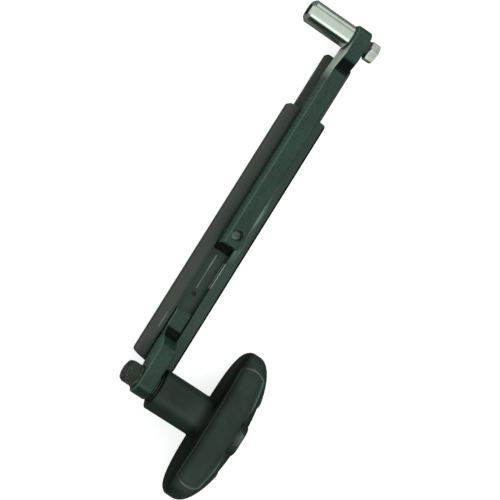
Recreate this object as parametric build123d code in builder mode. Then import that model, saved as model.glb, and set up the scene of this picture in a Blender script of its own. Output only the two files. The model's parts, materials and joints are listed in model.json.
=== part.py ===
"""Telescopic winch handle: rail with a spinning palm grip, sliding arm with a drive socket.

Millimetres. X runs along the drive and grip axes, from the socket's mouth towards the grip.
Y runs along the arm, with the grip on the -Y side. Z is up; the rail's back lies underneath.
The origin is the centre of the drive socket's mouth.
"""
import os
from math import cos, pi, sin

from build123d import *

os.makedirs("parts", exist_ok=True)

# ---- driving dimensions -------------------------------------------------------------------
crank_radius = 250.0        # socket axis to grip axis, arm pulled out
slide_travel = 43.0         # shortening stroke of the arm
arm_x = 37.5                # middle plane of rail, arm and both eyes
axis_height = 18.0          # both axes above the rail's back
eye_r = 10.0
eye_t = 10.0

rail_top_y = -52.4
rail_end_y = -237.9
rail_w = 29.0
rail_h = 7.0
rail_corner = 1.9
top_bow = 0.8              # bulge of the rail's cut ends in plan
end_bow = 2.6
web_t = 1.7
lip_t = 2.0
cavity_w = 21.2
slot_w = 12.3

plate_w = 20.4
plate_t = 2.6
plate_top_y = -13.1
plate_end_y = -155.2
arm_end_y = -151.3
arm_w = 10.0
arm_wall = 2.0
arm_face_z = 3.0
ramp_foot_y = -22.4
ramp_head_y = -12.1
ramp_r = 8.0               # hollow where the ramp meets the arm's face

plunger_y = -143.6
plunger_r = 3.0
ball_r = 2.0
detent_r = 1.6
detent_depth = 1.3

socket_len = 31.5
socket_r = 8.0
square = 8.0
recess = 14.0
shank_r = 5.0
flat_half = 4.0
thread_r = 4.0
thread_len = 9.6

stem_r = 13.8
stem_start = 7.9            # all stem and grip stations are measured from arm_x
grip_back = 41.6
grip_palm = 70.8
grip_tip = 53.0
grip_half_len = 51.2
grip_half_depth = 18.75
head_seat = 56.0
bush_r = 7.0
spindle_r = 5.0
plug_r = 8.6
fit = 0.03                  # radial clearance of parts that are fixed together
run = 0.05                  # radial clearance of the grip on its bush

# ---- derived positions --------------------------------------------------------------------
back_z = -axis_height
web_top = back_z + web_t
lip_top = back_z + rail_h
lip_under = lip_top - lip_t
plate_bottom = (web_top + lip_under - plate_t) / 2
plate_top = plate_bottom + plate_t
detent_y = [plunger_y, plunger_y - slide_travel]
rivet_y = [-38.0, -74.0, -112.0]
screw_y = [-206.0, -224.0]
foot_y = -198.8
foot_top = -9.8
eye_y = -crank_radius
left_face = arm_x - eye_t / 2
right_face = arm_x + eye_t / 2

section = Plane(origin=(arm_x, rail_top_y, 0), x_dir=(1, 0, 0), z_dir=(0, -1, 0))
side = Plane(origin=(left_face, 0, 0), x_dir=(0, 1, 0), z_dir=(1, 0, 0))
grip_axis = Plane(origin=(arm_x, eye_y, 0), x_dir=(0, 1, 0), z_dir=(1, 0, 0))
drive_axis = Plane(origin=(0, 0, 0), x_dir=(0, 1, 0), z_dir=(1, 0, 0))

# ---- outer rail ---------------------------------------------------------------------------
with BuildPart() as outer_rail:
    rail_len = rail_top_y - rail_end_y
    with BuildSketch(section):
        with Locations((0, back_z + rail_h / 2)):
            RectangleRounded(rail_w, rail_h, rail_corner)
        with Locations((0, (web_top + lip_under) / 2)):
            RectangleRounded(cavity_w, lip_under - web_top, 0.4, mode=Mode.SUBTRACT)
        with Locations((0, lip_top - lip_t / 2)):
            Rectangle(slot_w, lip_t + 0.4, mode=Mode.SUBTRACT)
    extrude(amount=rail_len)
    # plan outline: slightly bowed ends with eased corners
    with BuildSketch(Plane.XY.offset(back_z)):
        with BuildLine():
            half = rail_w / 2
            top_y = rail_top_y - top_bow
            end_y = rail_end_y + end_bow
            top_arc = ThreePointArc((arm_x - half, top_y), (arm_x, rail_top_y), (arm_x + half, top_y))
            end_arc = ThreePointArc((arm_x - half, end_y), (arm_x, rail_end_y), (arm_x + half, end_y))
            Line(top_arc @ 0, end_arc @ 0)
            Line(top_arc @ 1, end_arc @ 1)
        make_face()
        fillet(vertices(), radius=2.6)
    extrude(amount=rail_h, mode=Mode.INTERSECT)
    # blind detent holes for the two lengths
    for y in detent_y:
        with Locations((arm_x, y, web_top)):
            Cylinder(detent_r, 2 * detent_depth, mode=Mode.SUBTRACT)
    # countersinks for the bracket's screws
    for y in screw_y:
        with Locations((arm_x, y, back_z + web_t / 2)):
            Cone(3.8, 2.1, web_t, mode=Mode.SUBTRACT)
outer_rail.part.label = "outer_rail"
export_step(outer_rail.part, "parts/outer_rail.step")

# ---- grip bracket -------------------------------------------------------------------------
with BuildPart() as grip_bracket:
    with BuildSketch(side):
        with BuildLine():
            front = Line((eye_y, eye_r), (-232.5, eye_r))
            s_bend = Spline(
                (-232.5, eye_r), (-220.8, 0.4), (-209.5, foot_top), tangents=[(1, 0), (1, 0)]
            )
            toe = Polyline(
                (-209.5, foot_top), (-202.4, foot_top), (foot_y, -12.6), (foot_y, web_top), (-228.0, web_top)
            )
            belly = Spline((-228.0, web_top), (-238.0, -11.6), (eye_y, -eye_r), tangents=[(-1, 0), (-1, 0)])
            ThreePointArc((eye_y, -eye_r), (eye_y - eye_r, 0), (eye_y, eye_r))
        make_face()
    extrude(amount=eye_t)
    rims = grip_bracket.faces().filter_by(Axis.X).edges().filter_by(
        lambda e: e.center().Z > foot_top - 0.5
    )
    chamfer(rims, length=0.5)
    with Locations(grip_axis):
        Cylinder(spindle_r + run, 2 * eye_t, mode=Mode.SUBTRACT)
    for y in screw_y:
        with Locations((arm_x, y, web_top + 2.6)):
            Cylinder(2.0 + fit, 5.4, mode=Mode.SUBTRACT)
grip_bracket.part.label = "grip_bracket"
export_step(grip_bracket.part, "parts/grip_bracket.step")

# ---- countersunk screws holding the bracket -------------------------------------------------
with BuildPart() as bracket_screws:
    for y in screw_y:
        with Locations((arm_x, y, back_z + 0.1 + (web_t - 0.15) / 2)):
            Cone(3.7, 2.0, web_t - 0.15)
        with Locations((arm_x, y, web_top + 2.4)):
            Cylinder(2.0, 4.95)
        with Locations((arm_x, y, back_z + 0.1)):
            Cylinder(1.3, 1.6, mode=Mode.SUBTRACT)
bracket_screws.part.label = "bracket_screws"
export_step(bracket_screws.part, "parts/bracket_screws.step")

# ---- slide plate --------------------------------------------------------------------------
with BuildPart() as slide_plate:
    with BuildSketch(Plane.XY.offset(plate_bottom)):
        with Locations((arm_x, (plate_top_y + plate_end_y) / 2)):
            RectangleRounded(plate_w, plate_top_y - plate_end_y, 3.0)
    extrude(amount=plate_t)
    chamfer(slide_plate.edges().group_by(Axis.Z)[-1], length=0.4)
    chamfer(slide_plate.edges().group_by(Axis.Z)[0], length=0.4)
    # lead-in bevel on the tail of the plate
    with BuildSketch(Plane(origin=(arm_x - plate_w, 0, 0), x_dir=(0, 1, 0), z_dir=(1, 0, 0))):
        with BuildLine():
            tail = (plate_end_y - 0.1, plate_bottom + 0.5)
            head = (arm_end_y - 0.4, plate_top + 0.1)
            Polyline(head, tail, (plate_end_y - 0.1, plate_top + 0.1), close=True)
        make_face()
    extrude(amount=2 * plate_w, mode=Mode.SUBTRACT)
    for y in rivet_y:
        with Locations((arm_x, y, plate_bottom + plate_t / 2)):
            Cylinder(2.0 + fit, 2 * plate_t, mode=Mode.SUBTRACT)
        with Locations((arm_x, y, plate_bottom + 0.9)):
            Cone(3.8, 2.0 + fit, 1.8, mode=Mode.SUBTRACT)
    with Locations((arm_x, plunger_y, plate_bottom)):
        Cylinder(plunger_r + fit, 3 * plate_t, mode=Mode.SUBTRACT)
slide_plate.part.label = "slide_plate"
export_step(slide_plate.part, "parts/slide_plate.step")

# ---- socket arm ---------------------------------------------------------------------------
with BuildPart() as socket_arm:
    with BuildSketch(side):
        with BuildLine():
            Line((0, eye_r), (ramp_head_y, eye_r))
            Line((ramp_head_y, eye_r), (ramp_foot_y, arm_face_z))
            Line((ramp_foot_y, arm_face_z), (arm_end_y, arm_face_z))
            Line((arm_end_y, arm_face_z), (arm_end_y, plate_top))
            Line((arm_end_y, plate_top), (-19.0, plate_top))
            Spline((-19.0, plate_top), (-9.5, -10.9), (0, -eye_r), tangents=[(1, 0.2), (1, 0)])
            ThreePointArc((0, -eye_r), (eye_r, 0), (0, eye_r))
        make_face()
    extrude(amount=arm_w)
    knee = socket_arm.edges().filter_by(Axis.X).filter_by(
        lambda e: abs(e.center().Y - ramp_foot_y) < 0.1
    )
    fillet(knee, radius=ramp_r)
    rims = socket_arm.faces().filter_by(Axis.X).edges().filter_by(lambda e: e.center().Z > 2.0)
    chamfer(rims, length=0.6)
    # hollow from the plate side, broken by solid bosses for the rivets and the plunger
    cavity_top = arm_face_z - arm_wall
    cells = [
        (rivet_y[0] - 6, rivet_y[1] + 5),
        (rivet_y[1] - 5, rivet_y[2] + 5),
        (rivet_y[2] - 5, plunger_y + 5.6),
        (plunger_y - 4.6, arm_end_y - 1),
    ]
    for start, stop in cells:
        with Locations((arm_x, (start + stop) / 2, (plate_top + cavity_top) / 2)):
            Box(arm_w - 2 * arm_wall, start - stop, cavity_top - plate_top, mode=Mode.SUBTRACT)
    # eye bore takes the socket's double-flat shank
    with BuildSketch(side):
        Circle(shank_r + fit)
        Rectangle(2 * (flat_half + fit), 3 * shank_r, mode=Mode.INTERSECT)
    extrude(amount=arm_w, mode=Mode.SUBTRACT)
    # plunger bore with its wide access hole in the face
    with Locations((arm_x, plunger_y, arm_face_z)):
        Cylinder(3.8, 8.0, mode=Mode.SUBTRACT)
    with Locations((arm_x, plunger_y, -6.0)):
        Cylinder(plunger_r + fit, 20.0, mode=Mode.SUBTRACT)
    for y in rivet_y:
        with Locations((arm_x, y, plate_top + 4.0)):
            Cylinder(2.0 + fit, 8.4, mode=Mode.SUBTRACT)
    # punch mark over the first rivet
    with Locations((arm_x, rivet_y[0], arm_face_z + 1.0)):
        Sphere(1.9, mode=Mode.SUBTRACT)
socket_arm.part.label = "socket_arm"
export_step(socket_arm.part, "parts/socket_arm.step")

# ---- rivets joining arm and plate -----------------------------------------------------------
with BuildPart() as arm_rivets:
    for y in rivet_y:
        with Locations((arm_x, y, plate_bottom + 0.1 + 0.8)):
            Cone(3.65, 2.0, 1.6)
        with Locations((arm_x, y, plate_bottom + 1.6 + 4.3)):
            Cylinder(2.0, 8.7)
arm_rivets.part.label = "arm_rivets"
export_step(arm_rivets.part, "parts/arm_rivets.step")

# ---- detent: slotted hollow screw, spring and ball ------------------------------------------
nose_z = plate_bottom + 0.1
nose_lip = 0.2
screw_top = arm_face_z - 4.0
ball_z = web_top + 0.1 + ball_r
with BuildPart() as detent_plunger:
    with Locations((arm_x, plunger_y, (nose_z + screw_top) / 2)):
        Cylinder(plunger_r, screw_top - nose_z)
    top_rim = detent_plunger.edges().sort_by(Axis.Z)[-1]
    chamfer(top_rim, length=0.3)
    with Locations((arm_x, plunger_y, (nose_z + nose_lip + screw_top - 3.0) / 2)):
        Cylinder(ball_r + run, screw_top - 3.0 - nose_z - nose_lip, mode=Mode.SUBTRACT)
    with Locations((arm_x, plunger_y, nose_z)):
        Cylinder(1.94, 1.0, mode=Mode.SUBTRACT)
    with Locations((arm_x, plunger_y, screw_top)):
        Box(3 * plunger_r, 1.1, 2.4, mode=Mode.SUBTRACT)
detent_plunger.part.label = "detent_plunger"
export_step(detent_plunger.part, "parts/detent_plunger.step")

with BuildPart() as detent_spring:
    coil_start = ball_z + ball_r + 0.35
    coil_height = screw_top - 3.0 - 0.35 - coil_start
    with BuildLine() as coil:
        Helix(pitch=coil_height / 6, height=coil_height, radius=1.5, center=(arm_x, plunger_y, coil_start))
    with BuildSketch(Plane(origin=coil.line @ 0, z_dir=coil.line % 0)):
        Circle(0.25)
    sweep(path=coil.line, is_frenet=True)
detent_spring.part.label = "detent_spring"
export_step(detent_spring.part, "parts/detent_spring.step")

with BuildPart() as detent_ball:
    with Locations((arm_x, plunger_y, ball_z)):
        Sphere(ball_r)
detent_ball.part.label = "detent_ball"
export_step(detent_ball.part, "parts/detent_ball.step")

# ---- drive socket ---------------------------------------------------------------------------
with BuildPart() as drive_socket:
    with BuildSketch(drive_axis):
        Circle(socket_r)
    extrude(amount=socket_len)
    mouth = drive_socket.edges().group_by(Axis.X)[0]
    chamfer(mouth, length=1.9)
    tail = drive_socket.edges().group_by(Axis.X)[-1]
    chamfer(tail, length=0.4)
    # double-flat shank through the arm's eye, then the thread
    with BuildSketch(drive_axis.offset(socket_len)):
        Circle(shank_r)
        Rectangle(2 * flat_half, 3 * shank_r, mode=Mode.INTERSECT)
    extrude(amount=right_face - socket_len)
    with BuildSketch(drive_axis.offset(right_face)):
        Circle(thread_r)
    extrude(amount=thread_len)
    thread_end = drive_socket.edges().group_by(Axis.X)[-1]
    chamfer(thread_end, length=0.6)
    # square drive recess with its drilled relief
    with BuildSketch(drive_axis):
        Rectangle(square, square)
    extrude(amount=recess, mode=Mode.SUBTRACT)
    with BuildSketch(drive_axis.offset(recess)):
        Circle(3.4)
    extrude(amount=3.0, mode=Mode.SUBTRACT)
drive_socket.part.label = "drive_socket"
export_step(drive_socket.part, "parts/drive_socket.step")

with BuildPart() as socket_collar:
    with BuildSketch(drive_axis.offset(socket_len)):
        Circle(8.6)
        Circle(shank_r + fit, mode=Mode.SUBTRACT)
    extrude(amount=left_face - socket_len)
    chamfer(socket_collar.edges().filter_by(GeomType.CIRCLE).sort_by(SortBy.RADIUS)[-2:], length=0.2)
socket_collar.part.label = "socket_collar"
export_step(socket_collar.part, "parts/socket_collar.step")

washer_t = 1.4
nut_x = right_face + 3.2
with BuildPart() as socket_nut_washer:
    with BuildSketch(drive_axis.offset(right_face)):
        Circle(6.0)
        Circle(thread_r + fit, mode=Mode.SUBTRACT)
    extrude(amount=washer_t)
    chamfer(socket_nut_washer.edges().filter_by(GeomType.CIRCLE).sort_by(SortBy.RADIUS)[-2:], length=0.2)
socket_nut_washer.part.label = "socket_nut_washer"
export_step(socket_nut_washer.part, "parts/socket_nut_washer.step")

with BuildPart() as socket_lock_washer:
    with BuildSketch(drive_axis.offset(right_face + washer_t)):
        Circle(5.6)
        Circle(thread_r + fit, mode=Mode.SUBTRACT)
    extrude(amount=nut_x - right_face - washer_t)
    with Locations(((right_face + washer_t + nut_x) / 2, 4.8, 0)):
        Box(3.0, 2.4, 0.8, mode=Mode.SUBTRACT)
socket_lock_washer.part.label = "socket_lock_washer"
export_step(socket_lock_washer.part, "parts/socket_lock_washer.step")

with BuildPart() as socket_nut:
    with BuildSketch(drive_axis.offset(nut_x)):
        RegularPolygon(radius=6.0, side_count=6, major_radius=False, rotation=30)
    extrude(amount=6.0)
    # both faces are turned to a cone at the corners
    with BuildSketch(Plane(origin=(nut_x, 0, 0), x_dir=(1, 0, 0), z_dir=(0, -1, 0))):
        with BuildLine():
            Polyline((0, 0), (0, 6.1), (0.5, 7.0), (5.5, 7.0), (6.0, 6.1), (6.0, 0), close=True)
        make_face()
    revolve(axis=Axis.X, mode=Mode.INTERSECT)
    with BuildSketch(drive_axis.offset(nut_x)):
        Circle(thread_r + fit)
    extrude(amount=6.0, mode=Mode.SUBTRACT)
socket_nut.part.label = "socket_nut"
export_step(socket_nut.part, "parts/socket_nut.step")

# ---- grip spindle, bush and washers ---------------------------------------------------------
bolt_end = -15.6
with BuildPart() as grip_spindle:
    with BuildSketch(grip_axis.offset(bolt_end)):
        Circle(spindle_r)
    extrude(amount=head_seat + 0.3 - bolt_end)
    chamfer(grip_spindle.edges().group_by(Axis.X)[0], length=0.7)
    with BuildSketch(grip_axis.offset(head_seat + 0.3)):
        Circle(7.8)
    extrude(amount=7.0)
    chamfer(grip_spindle.edges().group_by(Axis.X)[-1], length=0.5)
    with BuildSketch(grip_axis.offset(head_seat + 7.3)):
        RegularPolygon(radius=4.0, side_count=6, major_radius=False)
    extrude(amount=-4.0, mode=Mode.SUBTRACT)
grip_spindle.part.label = "grip_spindle"
export_step(grip_spindle.part, "parts/grip_spindle.step")

with BuildPart() as spindle_bush:
    with BuildSketch(grip_axis.offset(6.6)):
        Circle(bush_r)
        Circle(spindle_r + fit, mode=Mode.SUBTRACT)
    extrude(amount=head_seat + 0.3 - 6.6)
spindle_bush.part.label = "spindle_bush"
export_step(spindle_bush.part, "parts/spindle_bush.step")

with BuildPart() as eye_washer:
    with BuildSketch(grip_axis.offset(5.0)):
        Circle(8.8)
        Circle(spindle_r + fit, mode=Mode.SUBTRACT)
    extrude(amount=1.6)
    chamfer(eye_washer.edges().filter_by(GeomType.CIRCLE).sort_by(SortBy.RADIUS)[-2:], length=0.25)
eye_washer.part.label = "eye_washer"
export_step(eye_washer.part, "parts/eye_washer.step")

with BuildPart() as thrust_washer:
    with BuildSketch(grip_axis.offset(6.6)):
        Circle(10.5)
        Circle(bush_r + fit, mode=Mode.SUBTRACT)
    extrude(amount=1.0)
thrust_washer.part.label = "thrust_washer"
export_step(thrust_washer.part, "parts/thrust_washer.step")

with BuildPart() as nut_washer:
    with BuildSketch(grip_axis.offset(-6.6)):
        Circle(8.0)
        Circle(spindle_r + fit, mode=Mode.SUBTRACT)
    extrude(amount=1.6)
    chamfer(nut_washer.edges().filter_by(GeomType.CIRCLE).sort_by(SortBy.RADIUS)[-2:], length=0.25)
nut_washer.part.label = "nut_washer"
export_step(nut_washer.part, "parts/nut_washer.step")

# ---- lock nut with its nylon ring -------------------------------------------------------------
nut_seat = arm_x - 6.6
with BuildPart() as grip_nut:
    with BuildSketch(grip_axis.offset(-15.0)):
        RegularPolygon(radius=7.2, side_count=6, major_radius=False, rotation=30)
    extrude(amount=8.4)
    with BuildSketch(Plane(origin=(nut_seat, eye_y, 0), x_dir=(-1, 0, 0), z_dir=(0, 1, 0))):
        with BuildLine():
            Line((0, 0), (0, 7.4))
            Polyline((0, 7.4), (0.6, 8.4), (5.8, 8.4), (6.7, 7.0), (7.9, 6.6), (8.4, 6.1), (8.4, 0), (0, 0))
        make_face()
    revolve(axis=Axis((nut_seat, eye_y, 0), (1, 0, 0)), mode=Mode.INTERSECT)
    with BuildSketch(grip_axis.offset(-15.0)):
        Circle(spindle_r + fit)
    extrude(amount=8.4, mode=Mode.SUBTRACT)
    with BuildSketch(grip_axis.offset(-14.7)):
        Circle(6.2)
    extrude(amount=1.9, mode=Mode.SUBTRACT)
grip_nut.part.label = "grip_nut"
export_step(grip_nut.part, "parts/grip_nut.step")

with BuildPart() as grip_nut_insert:
    with BuildSketch(grip_axis.offset(-14.65)):
        Circle(6.2 - fit)
        Circle(spindle_r + fit, mode=Mode.SUBTRACT)
    extrude(amount=1.8)
grip_nut_insert.part.label = "grip_nut_insert"
export_step(grip_nut_insert.part, "parts/grip_nut_insert.step")

# ---- palm grip --------------------------------------------------------------------------------
# The T-bar is lofted across its length. Each station is an oval whose back, palm and depth
# follow their own superellipse from the middle out to the tips.
stations = 20
around = 20
panel_depth = 0.9
with BuildPart() as grip_body:
    for skin in (0.0, panel_depth):
        for i in range(-stations // 2, stations // 2 + 1):
            t = abs(0.998 * sin(pi * i / stations))
            back = grip_tip - (grip_tip - grip_back - skin) * (1 - t ** 4.5) ** (1 / 4.5)
            palm = grip_tip + (grip_palm - grip_tip - skin) * (1 - t ** 2.05) ** (1 / 2.05)
            depth = (grip_half_depth - skin) * (1 - t ** 2.6) ** (1 / 2.6)
            middle = back + 0.42 * (palm - back)
            ring = []
            for k in range(around):
                c = cos(2 * pi * k / around)
                s = sin(2 * pi * k / around)
                reach = palm - middle if c > 0 else middle - back
                bulge = 2 / 2.9 if c > 0 else 2 / 4.5
                a = middle + reach * abs(c) ** bulge * (1 if c > 0 else -1)
                z = depth * abs(s) ** bulge * (1 if s > 0 else -1)
                ring.append((a, z))
            y = eye_y + (grip_half_len - skin) * 0.998 * sin(pi * i / stations)
            with BuildSketch(Plane(origin=(arm_x, y, 0), x_dir=(1, 0, 0), z_dir=(0, -1, 0))):
                with BuildLine():
                    Spline(*ring, periodic=True)
                make_face()
        loft()
        if skin == 0.0:
            # finger panels: the outer skin is cleared, then the inset core fills up behind it
            for z in (7.0, -7.0 - 14.0):
                with BuildSketch(Plane.XY.offset(z)):
                    with BuildLine():
                        Polyline((arm_x + 44.8, eye_y - 37.5), (arm_x + 44.8, eye_y + 37.5))
                        ThreePointArc(
                            (arm_x + 44.8, eye_y + 37.5),
                            (arm_x + 53.0, eye_y + 40.5),
                            (arm_x + 60.0, eye_y + 38.5),
                        )
                        ThreePointArc(
                            (arm_x + 60.0, eye_y + 38.5), (arm_x + 63.4, eye_y), (arm_x + 60.0, eye_y - 38.5)
                        )
                        ThreePointArc(
                            (arm_x + 60.0, eye_y - 38.5),
                            (arm_x + 53.0, eye_y - 40.5),
                            (arm_x + 44.8, eye_y - 37.5),
                        )
                    make_face()
                extrude(amount=14.0, mode=Mode.SUBTRACT)
    # four scallops in the palm leave a round hub and a thin web between them
    with BuildSketch(grip_axis.offset(62.5)):
        with Locations((16.5, 12.2), (-16.5, 12.2), (16.5, -12.2), (-16.5, -12.2)):
            RectangleRounded(24.0, 20.0, 5.0)
        Circle(10.8, mode=Mode.SUBTRACT)
    extrude(amount=12.0, mode=Mode.SUBTRACT)
    # stem
    with BuildSketch(grip_axis.offset(stem_start)):
        Circle(stem_r)
    extrude(amount=grip_back + 6.0 - stem_start)
    stem_rim = grip_body.edges().group_by(Axis.X)[0]
    chamfer(stem_rim, length=0.6)
    # bearing bore, head seat and plug bore
    with BuildSketch(grip_axis.offset(stem_start)):
        Circle(bush_r + run)
    extrude(amount=head_seat - stem_start, mode=Mode.SUBTRACT)
    with BuildSketch(grip_axis.offset(head_seat)):
        Circle(plug_r)
    extrude(amount=20.0, mode=Mode.SUBTRACT)
grip_body.part.label = "grip_body"
export_step(grip_body.part, "parts/grip_body.step")

with BuildPart() as grip_cap:
    with BuildSketch(grip_axis.offset(66.0)):
        Circle(plug_r - fit)
    extrude(amount=3.4)
    chamfer(grip_cap.edges().group_by(Axis.X)[-1], length=0.6)
    with BuildSketch(grip_axis.offset(66.0)):
        Circle(7.2)
    extrude(amount=1.8, mode=Mode.SUBTRACT)
grip_cap.part.label = "grip_cap"
export_step(grip_cap.part, "parts/grip_cap.step")
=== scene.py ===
"""Telescopic winch handle: materials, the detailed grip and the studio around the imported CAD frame."""

import json
from math import atan2, cos, pi, radians, sin, sqrt

import bmesh
import bpy
from mathutils import Matrix, Vector


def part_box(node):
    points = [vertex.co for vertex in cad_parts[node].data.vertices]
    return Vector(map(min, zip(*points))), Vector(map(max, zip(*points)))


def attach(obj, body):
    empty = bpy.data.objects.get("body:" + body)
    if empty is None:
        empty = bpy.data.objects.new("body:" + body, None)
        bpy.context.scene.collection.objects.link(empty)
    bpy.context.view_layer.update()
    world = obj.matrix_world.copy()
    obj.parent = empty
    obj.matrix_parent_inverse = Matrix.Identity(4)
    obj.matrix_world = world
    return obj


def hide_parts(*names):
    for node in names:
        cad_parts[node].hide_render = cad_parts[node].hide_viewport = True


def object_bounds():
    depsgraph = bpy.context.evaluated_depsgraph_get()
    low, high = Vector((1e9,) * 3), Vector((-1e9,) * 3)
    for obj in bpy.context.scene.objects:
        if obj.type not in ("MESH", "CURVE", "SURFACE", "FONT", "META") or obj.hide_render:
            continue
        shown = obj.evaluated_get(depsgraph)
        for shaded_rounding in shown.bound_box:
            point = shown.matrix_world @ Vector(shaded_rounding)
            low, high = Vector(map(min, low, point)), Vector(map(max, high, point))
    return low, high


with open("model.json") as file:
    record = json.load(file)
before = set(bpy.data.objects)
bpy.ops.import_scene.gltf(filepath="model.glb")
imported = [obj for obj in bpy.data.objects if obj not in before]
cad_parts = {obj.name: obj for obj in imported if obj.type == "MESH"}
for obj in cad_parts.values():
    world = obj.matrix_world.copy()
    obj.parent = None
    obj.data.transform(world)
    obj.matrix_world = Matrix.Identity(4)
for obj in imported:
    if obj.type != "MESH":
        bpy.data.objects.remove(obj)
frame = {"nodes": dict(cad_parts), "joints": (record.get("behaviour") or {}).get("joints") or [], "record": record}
cad_low, cad_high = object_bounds()
nodes = frame["nodes"]
MM = 0.001

# ---- places read from the frame ---------------------------------------------------------------
arm_low, arm_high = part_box("socket_arm")
rail_low, rail_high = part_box("outer_rail")
grip_low, grip_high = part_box("grip_body")
plunger_low, plunger_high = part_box("detent_plunger")
socket_low, socket_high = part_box("drive_socket")
socket_y = (socket_low.y + socket_high.y) / 2
arm_x = (arm_low.x + arm_high.x) / 2
plunger_y = (plunger_low.y + plunger_high.y) / 2
grip_y = (grip_low.y + grip_high.y) / 2
slide_travel = max(abs(v) for j in frame["joints"] if j["name"] == "arm_slide" for v in j["range_m"])
detent_hole = (arm_x, plunger_y - slide_travel, rail_low.z)


# ---- node graphs --------------------------------------------------------------------------------
class Graph:
    """Short calls that add nodes to one node tree."""

    def __init__(self, tree):
        self.tree = tree

    def add(self, kind, inputs=None, **settings):
        node = self.tree.nodes.new(kind)
        for key, value in settings.items():
            setattr(node, key, value)
        for key, value in (inputs or {}).items():
            self.feed(node.inputs[key], value)
        return node

    def feed(self, socket, value):
        if isinstance(value, bpy.types.NodeSocket):
            self.tree.links.new(value, socket)
        else:
            socket.default_value = value

    def fit(self, value, low, high, to_low=0.0, to_high=1.0):
        """Maps low to to_low and high to to_high, and holds those ends beyond them."""
        inputs = {0: value, 1: low, 2: high, 3: to_low, 4: to_high}
        return self.add("ShaderNodeMapRange", inputs).outputs[0]

    def math(self, operation, a, b, c=0.0):
        return self.add("ShaderNodeMath", {0: a, 1: b, 2: c}, operation=operation).outputs[0]

    def blend(self, factor, a, b):
        """Colour a where factor is 0, b where it is 1."""
        node = self.add("ShaderNodeMix", data_type="RGBA")
        self.feed(node.inputs[0], factor)
        self.feed(node.inputs[6], a)
        self.feed(node.inputs[7], b)
        return node.outputs[2]


class Finish(Graph):
    """One node material. Its textures and masks use object coordinates, in metres."""

    bevel_samples = 4
    plain_specular = 0.5

    def __init__(self, name):
        self.material = bpy.data.materials.new(name)
        self.material.use_nodes = True
        super().__init__(self.material.node_tree)
        self.shader = self.tree.nodes["Principled BSDF"]
        self.place = self.add("ShaderNodeTexCoord").outputs["Object"]
        self.axes = self.add("ShaderNodeSeparateXYZ", {0: self.place}).outputs

    def noise(self, size, stretch=(1, 1, 1), detail=4.0, roughness=0.55):
        """Noise whose features are about size metres, longer along an axis whose stretch is over 1."""
        scale = tuple(1 / (size * s) for s in stretch)
        mapping = self.add("ShaderNodeMapping", {"Vector": self.place, "Scale": scale})
        inputs = {"Vector": mapping.outputs[0], "Scale": 1.0, "Detail": detail, "Roughness": roughness}
        return self.add("ShaderNodeTexNoise", inputs).outputs["Fac"]

    def rounded(self, radius):
        """The surface normal with sharp edges rounded to a radius."""
        return self.add("ShaderNodeBevel", {"Radius": radius}, samples=self.bevel_samples).outputs[0]

    def edges(self, radius):
        """0 on flats and 1 on sharp edges, from how far a rounded normal leaves the true one."""
        flat_dot = 0.985
        sharp_dot = 0.80
        true = self.add("ShaderNodeNewGeometry").outputs["Normal"]
        inputs = {0: self.rounded(radius), 1: true}
        dot = self.add("ShaderNodeVectorMath", inputs, operation="DOT_PRODUCT")
        return self.fit(dot.outputs["Value"], flat_dot, sharp_dot)

    def bump(self, height, distance, strength, radius):
        """A bump in metres on the shader's normal, over a rounding of the edges."""
        inputs = {"Height": height, "Distance": distance, "Strength": strength}
        inputs["Normal"] = self.rounded(radius)
        self.feed(self.shader.inputs["Normal"], self.add("ShaderNodeBump", inputs).outputs[0])

    def box_mask(self, centre, half, soft):
        """1 inside a box, falling to 0 over the soft distance outside it. An axis with no half is open."""
        mask = None
        for axis in range(3):
            if half[axis] is None:
                continue
            away = self.math("ABSOLUTE", self.math("SUBTRACT", self.axes[axis], centre[axis]), 0.0)
            part = self.fit(away, half[axis] + soft, half[axis])
            mask = part if mask is None else self.math("MULTIPLY", mask, part)
        return mask

    def colour(self, value):
        self.feed(self.shader.inputs["Base Color"], value)

    def paint(self, mask, strength, colour):
        """Lays a further colour over the base colour, where the mask is."""
        under = self.shader.inputs["Base Color"].links[0].from_socket
        self.colour(self.blend(self.math("MULTIPLY", mask, strength), under, colour))

    def dull(self, mask, specular):
        """Lowers the specular level to a value, where the mask is."""
        level = self.fit(mask, 0.0, 1.0, self.plain_specular, specular)
        self.feed(self.shader.inputs["Specular IOR Level"], level)


def rgb(r, g, b):
    """Linear colour from 0-255 display values."""
    return tuple((v / 255) ** 2.2 for v in (r, g, b)) + (1.0,)


# ---- families of finish -------------------------------------------------------------------------
def coated_metal(name, dark, light, worn, grain, gloss=(0.32, 0.5), wear=0.5, grain_size=0.9 * MM):
    """Blackened or coated metal: mottled colour, drawn or forged grain, edges rubbed lighter."""
    g = Finish(name)
    cloud = g.noise(18 * MM, (1, 1.6, 1), detail=5)
    fine = g.noise(grain_size, grain, detail=3)
    mottle = g.fit(g.math("MULTIPLY_ADD", fine, 0.45, g.math("MULTIPLY", cloud, 0.75)), 0.36, 0.82)
    g.colour(g.blend(mottle, dark, light))
    patches = g.fit(g.noise(4 * MM, detail=6), 0.35, 0.68)
    g.paint(g.math("MULTIPLY", g.edges(0.45 * MM), patches), wear, worn)
    sheen = g.math("ADD", fine, g.noise(30 * MM))
    g.feed(g.shader.inputs["Roughness"], g.fit(sheen, 0.7, 1.3, *gloss))
    g.bump(fine, 0.02 * MM, 0.6, radius=0.3 * MM)
    return g


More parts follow.
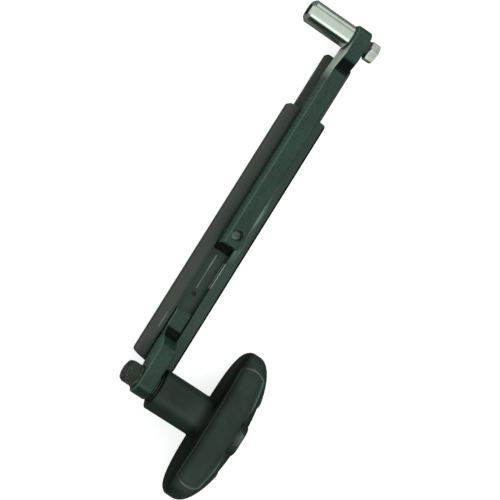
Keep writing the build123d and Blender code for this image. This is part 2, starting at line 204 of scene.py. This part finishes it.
def bare_metal(name, colour, dim, gloss, grain=(1, 1, 1), size=0.6 * MM, stains=0.5):
    """Plated or plain steel: fine tooling grain, cloudy tarnish and soft edges."""
    g = Finish(name)
    fine = g.noise(size, grain, detail=3)
    cloud = g.fit(g.noise(6 * MM, detail=6, roughness=0.65), 0.42, 0.72)
    g.colour(g.blend(g.math("MULTIPLY", cloud, stains), colour, dim))
    g.shader.inputs["Metallic"].default_value = 1.0
    g.feed(g.shader.inputs["Roughness"], g.fit(g.math("ADD", fine, cloud), 0.3, 1.5, *gloss))
    g.bump(fine, 0.008 * MM, 0.8, radius=0.25 * MM)
    return g


def moulded_plastic(name, dark, light, worn, gloss):
    """Moulded plastic: spark-eroded texture, cloudy sheen, edges polished by hands."""
    g = Finish(name)
    grain = g.noise(0.35 * MM, detail=2)
    cloud = g.noise(20 * MM, detail=5)
    g.colour(g.blend(g.fit(g.math("MULTIPLY_ADD", grain, 0.3, cloud), 0.45, 0.85), dark, light))
    g.paint(g.edges(0.8 * MM), 0.3, worn)
    g.feed(g.shader.inputs["Roughness"], g.fit(g.math("ADD", grain, cloud), 0.7, 1.3, *gloss))
    g.bump(grain, 0.02 * MM, 0.7, radius=0.5 * MM)
    return g


# ---- finishes with marks, painted highlights and painted shade of their own ---------------------
def rail_material():
    """Black anodised extrusion: lines along its length, worn lips and the ball's bright track, with a painted
    glint on one lip, a painted highlight along the slot, and painted shade in the detent hole and on the outer
    rounding of the lip.
    """
    dark = rgb(30, 35, 29)
    light = rgb(62, 68, 60)
    g = coated_metal("rail black", dark, light, rgb(110, 128, 116), (1, 60, 1), (0.28, 0.42), 0.6, 0.5 * MM)
    streaks = g.fit(g.noise(1.2 * MM, (1, 14, 1), detail=5), 0.38, 0.66)
    x = g.axes[0]

    # the lip away from the socket is greener than the other, and so is the web between them
    g.paint(g.fit(x, arm_x + 5 * MM, arm_x + 7 * MM), 0.55, rgb(44, 72, 62))
    g.paint(g.box_mask((arm_x, 0, 0), (6.0 * MM, None, None), 1.0 * MM), 0.45, rgb(32, 64, 54))
    g.paint(g.fit(x, arm_x - 7 * MM, arm_x - 8 * MM), 0.35, rgb(84, 88, 80))

    # a long painted glint on the greener lip, beside the arm's end
    lip_x = arm_x + 8.4 * MM
    lengthwise = g.box_mask((lip_x, plunger_y + 14 * MM, 0), (1.0 * MM, 18 * MM, None), 12 * MM)
    across = g.box_mask((lip_x, 0, 0), (1.0 * MM, None, None), 1.6 * MM)
    lip_glint = g.math("MULTIPLY", g.math("MULTIPLY", lengthwise, across), streaks)
    g.paint(lip_glint, 0.8, rgb(128, 162, 148))

    # the detent ball's scratched track on the web and a scrape on the other lip, and a painted highlight along the
    # slot's rim
    scratches_and_slot_highlight = (
        ((arm_x - 0.4 * MM, plunger_y - 27 * MM), (0.16 * MM, 12 * MM), 0.30 * MM, 0.75),
        ((arm_x - 9.0 * MM, plunger_y - 67 * MM), (0.12 * MM, 5 * MM), 0.25 * MM, 0.6),
        # painted highlight: the bright line along the slot's rim
        ((arm_x + 6.2 * MM, plunger_y - 26 * MM), (0.22 * MM, 9 * MM), 0.20 * MM, 0.9),
    )
    broken = g.math("MULTIPLY_ADD", streaks, 0.6, 0.4)
    for (mark_x, mark_y), (half_x, half_y), soft, strength in scratches_and_slot_highlight:
        mark = g.box_mask((mark_x, mark_y, 0), (half_x, half_y, None), soft)
        g.paint(g.math("MULTIPLY", mark, broken), strength, rgb(160, 182, 170))

    # painted shade in the blind detent hole, nearly black
    hole_shade = (0.001, 0.002, 0.001, 1)
    away = g.add("ShaderNodeVectorMath", {0: g.place, 1: detent_hole}, operation="DISTANCE")
    g.paint(g.fit(away.outputs["Value"], 2.2 * MM, 1.7 * MM), 1.0, hole_shade)

    # painted shade on the outer rounding of the lip, which faces away from the light: nearly black and dull
    shaded_rounding = g.fit(x, rail_high.x - 1.7 * MM, rail_high.x - 1.2 * MM)
    g.paint(shaded_rounding, 0.9, rgb(10, 14, 12))
    g.dull(shaded_rounding, 0.12)
    return g.material


def plate_material():
    """Blackened flat bar: past the arm's end it carries a painted shadow, dark and dull."""
    g = coated_metal("plate black", rgb(48, 51, 45), rgb(70, 72, 65), rgb(120, 128, 118), (1, 40, 1))
    # painted shadow on the plate past the arm's end
    shadowed_end = g.fit(g.axes[1], arm_low.y + 1.5 * MM, arm_low.y + 0.5 * MM)
    g.paint(shadowed_end, 0.9, rgb(8, 12, 10))
    g.dull(shadowed_end, 0.1)
    return g.material


def forging_material():
    """Blackened forging: painted sheen on the side of the arm by the socket, a painted highlight along the arm's
    left top border, and painted shade on the ramp and the bend.
    """
    dark = rgb(14, 42, 34)
    light = rgb(42, 68, 59)
    worn = rgb(120, 156, 142)
    g = coated_metal("forged black", dark, light, worn, (1, 2.5, 1), (0.22, 0.32), 0.8, 1.2 * MM)

    # painted shade on the arm's ramp and the bracket's bend, faces turned from the light
    ramp = g.box_mask((0, socket_y - 18.3 * MM, 0), (None, 3.6 * MM, None), 1.3 * MM)
    bend = g.box_mask((0, socket_y - 216.0 * MM, 0), (None, 3.0 * MM, None), 1.3 * MM)
    painted_shade = g.math("MAXIMUM", ramp, bend)
    g.paint(painted_shade, 0.92, rgb(8, 15, 12))
    g.dull(painted_shade, 0.1)

    # painted highlight along the arm's left top border
    edge_highlight = g.box_mask((arm_low.x, 0, 0), (0.30 * MM, None, None), 0.25 * MM)
    g.paint(edge_highlight, 0.35, rgb(120, 150, 138))
    # painted sheen on the arm's side near the socket
    neck_y = socket_low.y - 8 * MM
    neck_sheen = g.box_mask((arm_low.x, neck_y, 0), (0.25 * MM, 5 * MM, None), 9 * MM)
    g.paint(g.math("MULTIPLY", neck_sheen, edge_highlight), 0.9, rgb(205, 216, 204))
    return g.material


def grip_material():
    """Glass-filled nylon moulding: raised rims, the mould seam and the ridge between the scallops are pale with
    wear and a painted highlight, and there is painted shade where the stem meets the bar.
    """
    g = moulded_plastic("grip plastic", rgb(16, 32, 25), rgb(36, 54, 45), rgb(84, 104, 93), (0.36, 0.48))
    worn = g.add("ShaderNodeAttribute", attribute_name="worn").outputs["Fac"]
    # the worn attribute carries wear and a painted highlight on the rims, the seam and the ridge between the
    # scallops
    patchy = g.fit(g.noise(8 * MM, detail=5), 0.3, 0.6, 0.45, 1.0)
    g.paint(g.math("MULTIPLY", worn, patchy), 1.0, rgb(100, 122, 110))

    # painted shade where the stem meets the bar and on the bar's back beside it, kept off the rims
    root = g.box_mask((arm_x + 42.5 * MM, 0, 0), (2.0 * MM, None, None), 4.5 * MM)
    root = g.math("MULTIPLY", root, g.fit(worn, 0.0, 0.5, 1.0, 0.0))
    g.paint(root, 0.75, rgb(6, 12, 9))
    g.dull(root, 0.2)
    return g.material


grip_plastic = grip_material()
cap_plastic = moulded_plastic("cap plastic", rgb(28, 34, 30), rgb(40, 48, 42), rgb(80, 90, 84), (0.32, 0.48))
nylon_black = moulded_plastic("nylon black", rgb(24, 27, 25), rgb(36, 40, 37), rgb(66, 70, 66), (0.42, 0.6))
nylon_insert = moulded_plastic(
    "nylon insert", rgb(30, 42, 62), rgb(40, 55, 80), rgb(80, 95, 120), (0.4, 0.55)
)
socket_chrome = bare_metal(
    "socket chrome", rgb(228, 236, 226), rgb(170, 182, 170), (0.1, 0.22), (60, 1, 1), 0.7 * MM, 0.25
)
zinc_steel = bare_metal("zinc steel", rgb(205, 208, 200), rgb(150, 150, 140), (0.22, 0.38), size=0.8 * MM)
steel_bright = bare_metal("steel bright", rgb(200, 204, 200), rgb(130, 132, 126), (0.18, 0.3))
steel_dull = bare_metal("steel dull", rgb(128, 138, 130), rgb(70, 76, 70), (0.34, 0.5), stains=0.8)
steel_dark = bare_metal("steel dark", rgb(84, 88, 84), rgb(48, 50, 46), (0.3, 0.46), stains=0.8)
steel_black = coated_metal(
    "steel black",
    rgb(16, 26, 16),
    rgb(42, 54, 40),
    rgb(190, 198, 180),
    (1, 1, 1),
    gloss=(0.22, 0.34),
    wear=0.9,
    grain_size=0.6 * MM,
)

finishes = {
    "rail_black": rail_material(),
    "plate_black": plate_material(),
    "forged_black": forging_material(),
    "steel_black": steel_black.material,
    "steel_dark": steel_dark.material,
    "steel_dull": steel_dull.material,
    "steel_bright": steel_bright.material,
    "socket_chrome": socket_chrome.material,
    "zinc_steel": zinc_steel.material,
    "nylon_black": nylon_black.material,
    "nylon_insert": nylon_insert.material,
    "grip_plastic": grip_plastic,
    "cap_plastic": cap_plastic.material,
}
for row in frame["record"]["subparts"]:
    obj = nodes[row["node"]]
    obj.data.materials.clear()
    obj.data.materials.append(finishes[row["material_slot"]])


# ---- mesh helpers -------------------------------------------------------------------------------
def smooth(value, low, high):
    """0 at low and 1 at high, eased between them and held beyond them."""
    x = min(1.0, max(0.0, (value - low) / (high - low)))
    return x * x * (3 - 2 * x)


def gauss(value, width):
    """1 at 0, fading to nothing about two widths away."""
    e = 2.718
    return e ** (-((value / width) ** 2))


def piece(name, shape, material, body, replaced):
    """Turns a bmesh in the row frame into a piece that rides on a body."""
    mesh = bpy.data.meshes.new(name)
    bmesh.ops.recalc_face_normals(shape, faces=shape.faces)
    for face in shape.faces:
        face.smooth = True
    shape.to_mesh(mesh)
    shape.free()
    obj = bpy.data.objects.new(name, mesh)
    bpy.context.scene.collection.objects.link(obj)
    mesh.materials.append(material)
    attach(obj, body)
    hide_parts(*replaced)


def skin(shape, rings):
    """Quads between closed rings of points, with a fan over each end."""
    rows = [[shape.verts.new(p) for p in ring] for ring in rings]
    count = len(rows[0])
    for low, high in zip(rows, rows[1:]):
        for k in range(count):
            n = (k + 1) % count
            shape.faces.new((low[k], low[n], high[n], high[k]))
    for row in (rows[0], rows[-1]):
        centre = sum((v.co for v in row), Vector()) / count
        tip = shape.verts.new(centre)
        for k in range(count):
            shape.faces.new((row[k], row[(k + 1) % count], tip))


def lathe(shape, axis_y, profile, steps, warp):
    """Solid of revolution about an axis along X: profile rows are (x, radius), warp(turn) adds to radii."""
    rings = []
    for x, r in profile:
        ring = []
        for k in range(steps):
            turn = 2 * pi * k / steps
            reach = r + warp(turn)
            ring.append((x, axis_y + reach * cos(turn), reach * sin(turn)))
        rings.append(ring)
    skin(shape, rings)


# ---- grip dimensions: a is the distance from the arm's middle plane, v that from the spindle -----
stem_r = 13.8 * MM
stem_bore = 7.05 * MM
stem_start = grip_low.x - arm_x
stem_taper = 0.15 * MM
stem_steps = 30
root_length = 2.6 * MM
root_sweep = 3.4 * MM
root_flare = 2.4 * MM
root_steps = 8
stem_sunk = 8 * MM            # how far the stem runs on, from the bar's back plane
seam_turn = radians(161)
seam_depth = 0.35 * MM

bar_back = 41.6 * MM
bar_palm = grip_high.x - arm_x
bar_tip = 53.0 * MM
bar_half = grip_high.y - grip_y
bar_depth = 18.75 * MM
bar_limit = grip_high.z
back_power = 4.5              # the powers of the bar's outlines, 2 being an ellipse
palm_power = 2.05
depth_power = 2.6
palm_bulge = 2 / 2.9          # the same for the two halves of its section
back_bulge = 2 / 4.5
widest_share = 0.42           # where the section is deepest, between back and palm
bar_stations = 190
bar_around = 220
bar_end = radians(89.3)

panel_step = 0.9 * MM
panel_back = 44.8 * MM
panel_palm = 63.4 * MM
panel_palm_bow = 3.4 * MM
panel_length = 38.5 * MM
panel_lobe = 3.6 * MM
panel_lobe_width = 6.0 * MM
panel_end = 40.5 * MM
panel_end_bow = 3.0 * MM
panel_end_half = 8.2 * MM
bead_height = 0.3 * MM
bead_width = 0.45 * MM
bead_away = 0.6 * MM          # from the panel's border to the crest of the raised rim
face_start = 6.0 * MM         # the panel's step and rim fade in between these heights
face_full = 8.0 * MM
step_width = 0.9 * MM
step_start = -0.1 * MM
tuck_depth = 0.5 * MM
tuck_low = 1.0 * MM           # the back shell is fully tucked in below this height
tuck_none = 1.6 * MM          # and not at all above this one
back_cos = 0.25               # the section's back starts where the cosine of its turn falls below this
back_fade = 0.3
tip_start = 0.97              # the tuck runs out over the last of the bar's relative length
seam_z = -0.4 * MM
seam_width = 0.4 * MM

scallop_floor = 62.5 * MM
scallop_v = 16.5 * MM
scallop_z = 12.2 * MM
scallop_half_v = 12.0 * MM
scallop_half_z = 10.0 * MM
scallop_corner = 5.0 * MM
scallop_wall = 0.9 * MM
scallop_full = 12 * MM        # the scallops run out between these distances from the spindle
scallop_gone = 27 * MM
hub_r = 10.8 * MM
bridge_width = 4.0 * MM       # the ridge between the scallops, outside the hub, painted with a highlight
bridge_start = 8.5 * MM
bridge_full = 11 * MM


def oval(t, turn):
    """A point (a, z) of the bar's section at relative length t, and the cosine of its turn."""
    back = bar_tip - (bar_tip - bar_back) * (1 - t**back_power) ** (1 / back_power)
    palm = bar_tip + (bar_palm - bar_tip) * (1 - t**palm_power) ** (1 / palm_power)
    depth = bar_depth * (1 - t**depth_power) ** (1 / depth_power)
    mid = back + widest_share * (palm - back)
    c = cos(turn)
    s = sin(turn)
    reach = palm - mid if c > 0 else mid - back
    bulge = palm_bulge if c > 0 else back_bulge
    a = mid + reach * abs(c) ** bulge * (1 if c > 0 else -1)
    z = depth * abs(s) ** bulge * (1 if s > 0 else -1)
    return a, z, c


def even_turns(count):
    """Angles that put the points of the bar's middle section at even steps round its outline."""
    fine = 4000
    line = [Vector(oval(0.0, 2 * pi * i / fine)[:2]) for i in range(fine + 1)]
    length = [0.0]
    for p, q in zip(line, line[1:]):
        length.append(length[-1] + (q - p).length)
    turns = []
    i = 0
    for k in range(count):
        while length[i + 1] <= length[-1] * k / count:
            i += 1
        turns.append(2 * pi * i / fine)
    return turns


def panel_inside(a, v):
    """Distance inside the finger panel's border, in the plane of the bar."""
    far = panel_palm - panel_palm_bow * (v / panel_length) ** 2
    far += panel_lobe * gauss(v, panel_lobe_width)
    end = panel_end - panel_end_bow * ((a - bar_tip) / panel_end_half) ** 2
    return min(a - panel_back, far - a, end - abs(v))


def scallop_inside(v, z):
    """Distance inside one of the four scallops in the palm, in the plane across the axis."""
    dv = max(abs(abs(v) - scallop_v) - scallop_half_v + scallop_corner, 0.0)
    dz = max(abs(abs(z) - scallop_z) - scallop_half_z + scallop_corner, 0.0)
    box = scallop_corner - sqrt(dv * dv + dz * dz)
    hub = sqrt(v * v + z * z) - hub_r
    return min(box, hub)


def bar_point(t, v, turn):
    """A point (a, z) of the bar with its panel, seam and scallops, and its wear and painted highlight from 0 to 1.
    """
    a, z, c = oval(t, turn)
    inside = panel_inside(a, v)
    face = smooth(abs(z), face_start, face_full)
    rim = gauss(inside + bead_away, bead_width) * face
    sunk = panel_step * smooth(inside, step_start, step_start + step_width) * face
    z -= (sunk - bead_height * rim) * (1 if z > 0 else -1)

    # the back shell tucks in behind the front one along the parting line
    on_back = smooth(back_cos - c, 0.0, back_fade)
    a += tuck_depth * smooth(-z, -tuck_none, -tuck_low) * on_back * smooth(t, 1.0, tip_start)

    if c > 0:
        drop = smooth(scallop_inside(v, z), 0.0, scallop_wall) * smooth(abs(v), scallop_gone, scallop_full)
        a += (min(a, scallop_floor) - a) * drop
    z = max(-bar_limit, min(bar_limit, z))

    # the seam's line is part wear and part painted highlight, and the ridge between the scallops is painted
    # highlight
    seam = gauss(z - seam_z, seam_width) * on_back
    bridge = gauss(v, bridge_width) * smooth(c, 0.3, 0.6) * smooth(abs(z), bridge_start, bridge_full)
    # the rim's wear and painted highlight are full on the palm side and faint on the back
    rim_wear_highlight_share = 0.2 + 0.8 * smooth(a, 46 * MM, 50 * MM)
    return a, z, min(1.0, rim_wear_highlight_share * rim + 0.8 * seam + 0.7 * bridge)


def stem_profile():
    """Rows (x, radius) of the stem, from its rounded end to inside the bar."""
    start = arm_x + stem_start
    root = arm_x + bar_back
    rows = [(start, stem_bore), (start, stem_r - 0.7 * MM)]
    rows += [(start + 0.15 * MM, stem_r - 0.3 * MM), (start + 0.6 * MM, stem_r)]
    for i in range(1, stem_steps):
        x = start + (bar_back - stem_start - root_length) * i / stem_steps
        rows.append((x, stem_r - stem_taper * i / stem_steps))
    for i in range(root_steps + 1):
        turn = pi / 2 * i / root_steps
        rows.append((root - root_length + root_sweep * sin(turn), stem_r + root_flare * (1 - cos(turn))))
    rows += [(root + stem_sunk, stem_r), (root + stem_sunk, stem_bore)]
    return rows


def stem_seam(turn):
    """A fine groove along the stem, left by the mould."""
    away = abs(atan2(sin(turn - seam_turn), cos(turn - seam_turn))) * stem_r
    return -seam_depth * (1 - smooth(away, 0.15 * MM, 0.5 * MM))


def grip_shell():
    """T-bar with finger panels, parting line and palm scallops, on its round stem."""
    shape = bmesh.new()
    turns = even_turns(bar_around)
    rings = []
    wear = []
    for i in range(bar_stations + 1):
        share = sin(bar_end * (2 * i / bar_stations - 1))
        v = bar_half * share
        ring = []
        for turn in turns:
            a, z, worn = bar_point(abs(share), v, turn)
            ring.append((arm_x + a, grip_y + v, z))
            wear.append(worn)
        rings.append(ring)
    skin(shape, rings)
    wear_highlight_layer = shape.verts.layers.float.new("worn")
    shape.verts.ensure_lookup_table()
    for vert, amount in zip(shape.verts, wear):
        vert[wear_highlight_layer] = amount

    lathe(shape, grip_y, stem_profile(), 128, stem_seam)
    piece("grip_shell", shape, grip_plastic, "grip", ["grip_body"])


grip_shell()

# ---- studio -------------------------------------------------------------------------------------
middle = Vector((arm_x, (cad_low.y + cad_high.y) / 2, cad_low.z))
floor_gap = 0.3 * MM
floor_half = 6.0


def studio_floor():
    """A wide pale sheet just under the object, bright to the camera and dim in mirror reflections."""
    mesh = bpy.data.meshes.new("floor")
    obj = bpy.data.objects.new("floor", mesh)
    bpy.context.scene.collection.objects.link(obj)
    shape = bmesh.new()
    bmesh.ops.create_grid(shape, x_segments=1, y_segments=1, size=floor_half)
    bmesh.ops.translate(shape, verts=shape.verts, vec=(middle.x, middle.y, cad_low.z - floor_gap))
    shape.to_mesh(mesh)
    shape.free()
    g = Finish("floor white")
    path = g.add("ShaderNodeLightPath").outputs
    mottle = g.fit(g.noise(0.4, detail=2), 0.3, 0.7)
    sheet = g.blend(mottle, (0.54, 0.54, 0.54, 1), (0.58, 0.58, 0.58, 1))
    g.colour(g.blend(path["Is Glossy Ray"], sheet, (0.2, 0.2, 0.19, 1)))
    g.shader.inputs["Roughness"].default_value = 0.9
    g.shader.inputs["Specular IOR Level"].default_value = 0.0
    g.shader.inputs["Emission Color"].default_value = (1.0, 1.0, 1.0, 1)
    g.feed(g.shader.inputs["Emission Strength"], g.fit(path["Is Camera Ray"], 0.0, 1.0, 0.0, 0.75))
    mesh.materials.append(g.material)


def softbox(name, offset, size, power, tint):
    """A rectangular light at offset from the middle of the object, facing it, unseen in reflections."""
    lamp = bpy.data.lights.new(name, "AREA")
    lamp.shape = "RECTANGLE"
    lamp.size, lamp.size_y = size
    lamp.energy = power
    lamp.color = tint
    obj = bpy.data.objects.new(name, lamp)
    bpy.context.scene.collection.objects.link(obj)
    obj.location = middle + Vector(offset)
    obj.rotation_euler = Vector(offset).to_track_quat("Z", "Y").to_euler()
    obj.visible_glossy = False


def studio_sky():
    """A pale sky with bands of light and dark that run along X."""
    world = bpy.data.worlds.new("studio")
    bpy.context.scene.world = world
    world.use_nodes = True
    sky = Graph(world.node_tree)
    direction = sky.add("ShaderNodeTexCoord").outputs["Generated"]
    across, along, height = sky.add("ShaderNodeSeparateXYZ", {0: direction}).outputs
    # pale all over, then dark beyond the grip's end and dim on the grip's side
    glow = sky.fit(height, 0.0, 1.0, 0.75, 0.72)
    glow = sky.math("MULTIPLY", glow, sky.fit(along, -0.83, -0.78, 0.03, 1.0))
    glow = sky.math("MULTIPLY", glow, sky.fit(across, 0.55, 0.85, 1.0, 0.15))
    # a bright strip above the dark
    strip = sky.math("MULTIPLY", sky.fit(along, -0.81, -0.77), sky.fit(along, -0.44, -0.54))
    glow = sky.math("ADD", glow, sky.math("MULTIPLY", strip, 0.5))
    # half as bright in a band beyond the socket's end
    shade = sky.math("MULTIPLY", sky.fit(along, 0.66, 0.74), sky.fit(along, 0.9, 0.82))
    glow = sky.math("MULTIPLY", glow, sky.math("SUBTRACT", 1.0, sky.math("MULTIPLY", shade, 0.5)))
    backdrop = world.node_tree.nodes["Background"]
    backdrop.inputs["Color"].default_value = (0.92, 1.0, 0.95, 1)
    sky.feed(backdrop.inputs["Strength"], glow)


studio_floor()
softbox("key", (0.45, 0.8, 0.8), (0.5, 0.4), 4.0, (1, 1, 1))
softbox("fill", (-0.5, -0.6, 0.8), (0.6, 0.9), 0.4, (0.96, 1.0, 0.97))
studio_sky()

# ---- camera -------------------------------------------------------------------------------------
target = Vector((37.5, -135.0, -3.0)) * MM
azimuth = radians(-58.81)
elevation = radians(74.99)
roll = radians(91.62)
distance = 1500 * MM
slide = (4.644 * MM, -16.193 * MM)
lens = 174.24
sensor = 36.0
farthest_seen = 20.0

back = Vector((sin(azimuth) * cos(elevation), -cos(azimuth) * cos(elevation), sin(elevation)))
level = Vector((0, 0, 1)).cross(back).normalized()
upright = back.cross(level)
right = level * cos(roll) + upright * sin(roll)
up = upright * cos(roll) - level * sin(roll)
eye = target + right * slide[0] + up * slide[1] + back * distance
lens_data = bpy.data.cameras.new("camera")
lens_data.sensor_width = sensor
lens_data.lens = lens
lens_data.clip_end = farthest_seen
camera = bpy.data.objects.new("camera", lens_data)
bpy.context.scene.collection.objects.link(camera)
camera.matrix_world = Matrix.Translation(eye) @ Matrix((right, up, back)).transposed().to_4x4()
bpy.context.scene.camera = camera
bpy.context.scene.view_settings.view_transform = "Standard"
